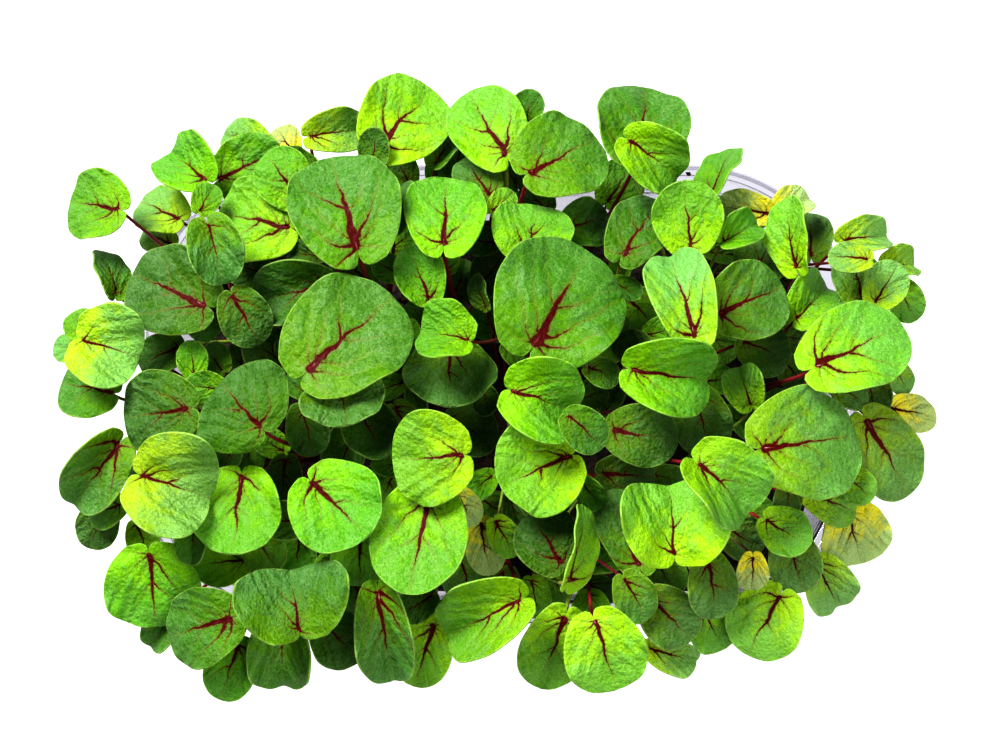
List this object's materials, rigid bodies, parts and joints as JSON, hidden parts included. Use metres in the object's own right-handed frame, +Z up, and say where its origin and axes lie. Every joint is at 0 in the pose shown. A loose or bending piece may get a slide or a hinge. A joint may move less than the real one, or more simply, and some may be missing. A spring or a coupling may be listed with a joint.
{
  "type": "microgreens punnet",
  "caption": "Clear ribbed plastic punnet filled with growing medium and a dense stand of young red-veined sorrel, with round green blades on thin dark red stalks.",
  "frame": {"origin": "centre of the flat underside of the punnet's foot, on the table", "axes": "+Z up through the canopy, +X along the punnet's longer side, +Y across it, away from the side the picture was taken from"},
  "size_m": [0.1822, 0.1289, 0.0885],
  "materials": {
    "clear_plastic": "gloss",
    "growing_medium": "matte",
    "leaf_bright": "satin",
    "leaf_mid": "satin",
    "leaf_deep": "satin",
    "leaf_lime": "satin",
    "leaf_yellow": "satin",
    "leaf_pale": "satin",
    "leaf_cool": "satin"
  },
  "bodies": {
    "root": {"punnet": "clear_plastic", "growing_medium": "growing_medium", "seedling_01": "leaf_bright", "seedling_02": "leaf_cool", "seedling_03": "leaf_cool", "seedling_04": "leaf_lime", "seedling_05": "leaf_lime", "seedling_06": "leaf_lime", "seedling_07": "leaf_lime", "seedling_08": "leaf_pale", "seedling_09": "leaf_bright", "seedling_10": "leaf_mid", "seedling_11": "leaf_bright", "seedling_12": "leaf_lime", "seedling_13": "leaf_bright", "seedling_14": "leaf_mid", "seedling_15": "leaf_yellow", "seedling_16": "leaf_pale", "seedling_17": "leaf_cool", "seedling_18": "leaf_mid", "seedling_19": "leaf_deep", "seedling_20": "leaf_mid", "seedling_21": "leaf_bright", "seedling_22": "leaf_pale", "seedling_23": "leaf_bright", "seedling_24": "leaf_bright", "seedling_25": "leaf_deep", "seedling_26": "leaf_mid", "seedling_27": "leaf_bright", "seedling_28": "leaf_bright", "seedling_29": "leaf_lime", "seedling_30": "leaf_lime", "seedling_31": "leaf_lime", "seedling_32": "leaf_bright", "seedling_33": "leaf_lime", "seedling_34": "leaf_lime", "seedling_35": "leaf_mid", "seedling_36": "leaf_mid", "seedling_37": "leaf_bright", "seedling_38": "leaf_yellow"}
  },
  "joints": []
}
